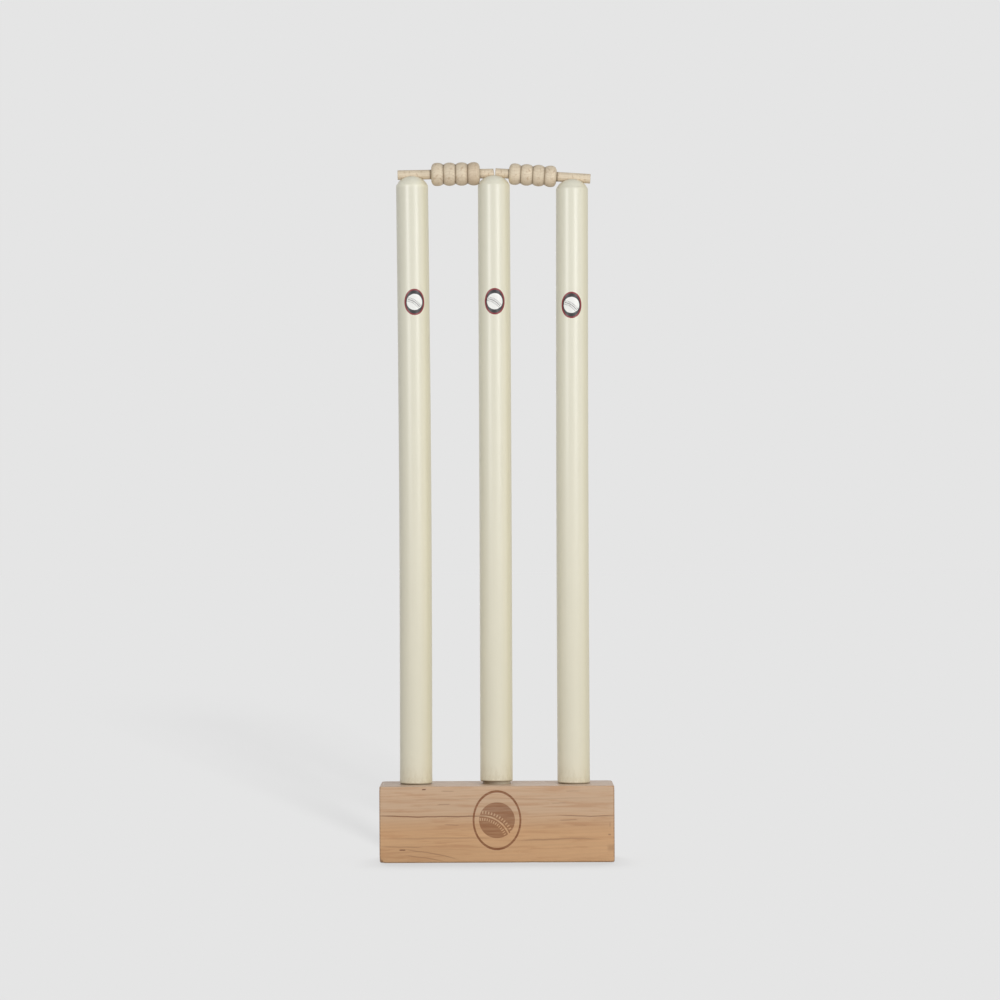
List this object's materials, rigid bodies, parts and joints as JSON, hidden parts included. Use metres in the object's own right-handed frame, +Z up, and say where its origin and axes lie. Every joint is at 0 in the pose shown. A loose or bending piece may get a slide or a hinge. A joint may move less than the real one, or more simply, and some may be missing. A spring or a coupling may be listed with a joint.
{
  "type": "cricket stumps",
  "caption": "Free-standing wicket: painted round stumps lift out of sockets in a wooden base block, with turned bails lying in the grooves of their domed tops.",
  "frame": {"origin": "middle of the block's underside, on the ground", "axes": "+X along the wicket from the left stump to the right one, +Y from the front to the back, +Z up the stumps"},
  "size_m": [0.2732, 0.089, 0.8202],
  "materials": {
    "oiled_wood": "satin",
    "cream_paint": "satin",
    "bare_beech": "matte"
  },
  "bodies": {
    "base": {"base_block": "oiled_wood"},
    "left_stump": {"stump_left": "cream_paint"},
    "middle_stump": {"stump_middle": "cream_paint"},
    "right_stump": {"stump_right": "cream_paint"},
    "left_bail": {"bail_left": "bare_beech"},
    "right_bail": {"bail_right": "bare_beech"}
  },
  "joints": [
    {"name": "middle_stump_lift", "type": "slide", "parent": "base", "child": "middle_stump", "axis": [0, 0, 1], "range_m": [0, 0.09]},
    {"name": "left_stump_lift", "type": "slide", "parent": "base", "child": "left_stump", "axis": [0, 0, 1], "range_m": [0, 0.09]},
    {"name": "right_stump_lift", "type": "slide", "parent": "base", "child": "right_stump", "axis": [0, 0, 1], "range_m": [0, 0.09]},
    {"name": "left_bail_lift", "type": "slide", "parent": "left_stump", "child": "left_bail", "axis": [0, 0, 1], "range_m": [0, 0.06]},
    {"name": "right_bail_lift", "type": "slide", "parent": "right_stump", "child": "right_bail", "axis": [0, 0, 1], "range_m": [0, 0.06]}
  ],
  "couplings": [
    {"joint": "left_stump_lift", "follows": "middle_stump_lift", "ratio": 1},
    {"joint": "right_stump_lift", "follows": "middle_stump_lift", "ratio": 1}
  ]
}
